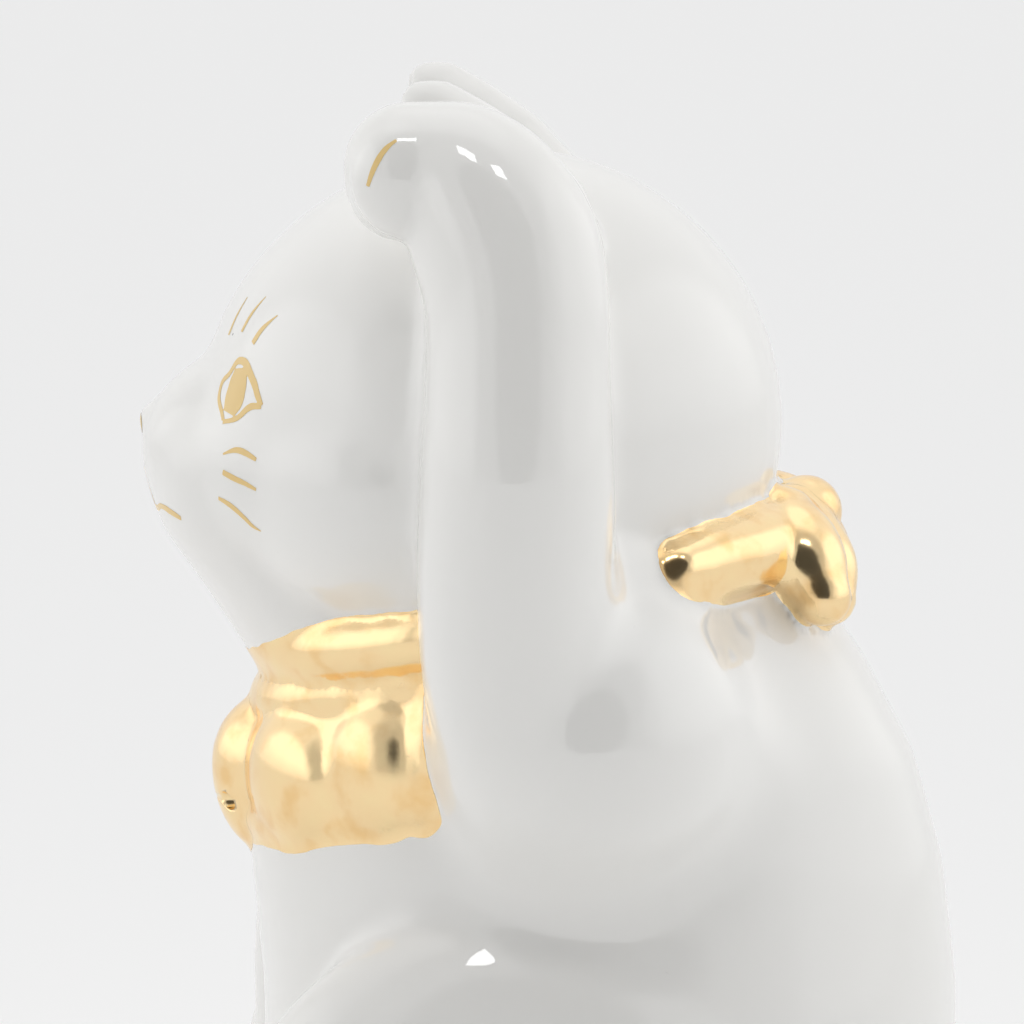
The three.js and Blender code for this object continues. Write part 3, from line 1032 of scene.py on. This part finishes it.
class CAT_OT_casting(bpy.types.Operator):
    """The whole glazed surface in one, which the pieces are then taken from"""

    bl_idname = "cat.casting"
    bl_label = "Casting"

    def execute(self, context):
        form = context.scene.cat_form
        body = [
            lofted(TORSO),
            skull(),
            *face_forms(),
            haunch(LEFT),
            haunch(RIGHT),
            *shoulders(),
            limb(ARM),
        ]
        casting = fuse(join(body), BODY_GRAIN, form.body_softness)
        soften(casting, SHOULDER_EDGE, SHOULDER_PASSES)
        ears = [carve(ear(sign), ear_hollow(sign), "DIFFERENCE") for sign in (LEFT, RIGHT)]
        details = [
            *ears,
            *paw_toes(),
            *foreleg(),
            limb(TAIL),
            nose(),
            collar_form(),
            bell_form(),
            bow_knot(),
        ]
        for sign in (LEFT, RIGHT):
            details += [*hind_foot(sign), bow_loop(sign), bow_tail(sign)]
        details += bib_forms()
        casting = fuse(join([casting, *details]), form.grain, form.detail_softness)
        carve(casting, bell_slot(), "DIFFERENCE")
        soften(casting, ARMPIT, ARMPIT_PASSES)
        bpy.ops.object.mode_set(mode="EDIT")
        bpy.ops.mesh.select_all(action="SELECT")
        bpy.ops.mesh.bisect(
            plane_co=(0, 0, 0), plane_no=(0, 0, 1), use_fill=True, clear_inner=True, threshold=CUT_LIMIT
        )
        bpy.ops.object.mode_set(mode="OBJECT")
        bpy.ops.object.shade_smooth()
        casting.name = "casting"
        return {"FINISHED"}


TRIM_GRAIN = 0.7
HAND_SWAY, HAND_STEP = 0.7, 7  # how far the gilder's edge strays, and over what length
LIMB_GRAIN = 1.2


class CAT_OT_trim(bpy.types.Operator):
    """Collar, bib, bell and bow, modelled in relief and gilded"""

    bl_idname = "cat.trim"
    bl_label = "Gilded trim"

    def execute(self, context):
        gold = gold_lustre()
        rest = copied(made("casting"))
        rest.name = "rest"
        masks = (  # each form, grown by how far the gold runs past its relief
            ("bell", bell_form(0.6)),
            ("collar", collar_form(1.0)),
            ("bib", join(bib_forms(1.0))),
            ("bow_knot", bow_knot(0.5)),
            ("bow_tail_left", bow_tail(LEFT, 0.7)),
            ("bow_tail_right", bow_tail(RIGHT, 0.7)),
            ("bow_loop_left", bow_loop(LEFT, 0.7)),
            ("bow_loop_right", bow_loop(RIGHT, 0.7)),
        )
        thickness = context.scene.cat_form.gold_thickness
        for name, mask in masks:
            fuse(mask, TRIM_GRAIN, 0.7)
            uneven(mask, HAND_SWAY, HAND_STEP)
            piece = part_off(rest, mask)
            modify(piece, "DISPLACE", strength=thickness, mid_level=0, direction="NORMAL")
            finish(piece, f"{name}_gilt", gold, name)
        return {"FINISHED"}


class CAT_OT_limbs(bpy.types.Operator):
    """Arm, foreleg, thighs, feet and tail"""

    bl_idname = "cat.limbs"
    bl_label = "Limbs"

    def execute(self, context):
        glaze = glazed_porcelain()
        rest = made("rest")
        masks = (  # each form, grown past its surface to where it is luted on
            ("raised_left_arm", limb(grown(ARM, 2.4))),
            ("right_foreleg", join(foreleg(1.6))),
            ("left_hind_foot", join(hind_foot(LEFT, 1.8))),
            ("right_hind_foot", join(hind_foot(RIGHT, 1.8))),
            ("tail", limb(grown(TAIL, 1.6))),
            ("left_haunch", haunch(LEFT, 1.5)),
            ("right_haunch", haunch(RIGHT, 1.5)),
        )
        for name, mask in masks:
            fuse(mask, LIMB_GRAIN, 0.6)
            finish(part_off(rest, mask), f"{name}_glazed", glaze, name)
        return {"FINISHED"}


class CAT_OT_body(bpy.types.Operator):
    """Ears, head and torso"""

    bl_idname = "cat.body"
    bl_label = "Head and torso"

    def execute(self, context):
        glaze = bpy.data.materials["glazed_porcelain"]
        rest = made("rest")
        masks = (
            ("left_ear", ear_mask(LEFT)),
            ("right_ear", ear_mask(RIGHT)),
            ("head_shell", neck_cut()),
        )
        for name, mask in masks:
            finish(part_off(rest, mask), f"{name}_glazed", glaze, name)
        finish(rest, "torso_shell_glazed", glaze, "torso_shell")
        return {"FINISHED"}


BRUSH_GRAIN = 0.14
BRUSH_SWAY, BRUSH_STEP = 0.12, 1.5


class CAT_OT_gilding(bpy.types.Operator):
    """Eyes, brows, whiskers, nose, mouth and claws, painted in gold as the last step"""

    bl_idname = "cat.gilding"
    bl_label = "Painted gold"

    def execute(self, context):
        gold = bpy.data.materials["gold_lustre"]
        casting = made("casting")
        sheet = copied(casting)
        thickness = context.scene.cat_form.gold_thickness
        modify(sheet, "DISPLACE", strength=thickness, mid_level=0, direction="NORMAL")
        both = (LEFT, RIGHT)
        marks = (
            ("left_eye_gilding", [stroke(casting, line, LEFT) for line in EYE]),
            ("right_eye_gilding", [stroke(casting, line, RIGHT) for line in EYE]),
            ("brow_gilding", [stroke(casting, line, sign) for line in BROWS for sign in both]),
            ("whisker_gilding", [stroke(casting, line, sign) for line in WHISKERS for sign in both]),
            ("mouth_gilding", [stroke(casting, line, sign) for line in MOUTH for sign in both]),
            ("claw_gilding", [stroke(casting, line, LEFT) for line in CLAWS]),
            ("nose_gilding", [egg((0, -77.4, 154.8), 3.2, 1.6, 1.9, down=2.6)]),
        )
        for name, brushes in marks:
            mask = fuse(join(brushes), BRUSH_GRAIN, 0)
            uneven(mask, BRUSH_SWAY, BRUSH_STEP)
            piece = carve(copied(sheet), mask, "INTERSECT")
            finish(piece, name, gold)
        bpy.data.objects.remove(sheet)
        bpy.data.objects.remove(casting)
        return {"FINISHED"}


class CAT_PT_panel(bpy.types.Panel):
    """The cat's pieces, sizes and colours"""

    bl_label = "Porcelain cat"
    bl_idname = "CAT_PT_panel"
    bl_space_type = "VIEW_3D"
    bl_region_type = "UI"
    bl_category = "Cat"

    def draw(self, context):
        for group in (context.scene.cat_form, context.scene.cat_finish, context.scene.cat_stage):
            for name in group.bl_rna.properties.keys():
                if name not in {"rna_type", "name"}:
                    self.layout.prop(group, name)
        for operator in OPERATORS:
            self.layout.operator(operator.bl_idname)


GROUPS = {"cat_form": CatForm, "cat_finish": CatFinish, "cat_stage": CatStage}
OPERATORS = (CAT_OT_stage, CAT_OT_casting, CAT_OT_trim, CAT_OT_limbs, CAT_OT_body, CAT_OT_gilding)


def register():
    for item in (*GROUPS.values(), *OPERATORS, CAT_PT_panel):
        bpy.utils.register_class(item)
    for name, group in GROUPS.items():
        setattr(bpy.types.Scene, name, PointerProperty(type=group))


def unregister():
    for name in GROUPS:
        delattr(bpy.types.Scene, name)
    for item in reversed((*GROUPS.values(), *OPERATORS, CAT_PT_panel)):
        bpy.utils.unregister_class(item)


def main():
    register()
    bpy.ops.cat.stage()
    bpy.ops.cat.casting()
    bpy.ops.cat.trim()
    bpy.ops.cat.limbs()
    bpy.ops.cat.body()
    bpy.ops.cat.gilding()


if __name__ == "__main__":
    main()
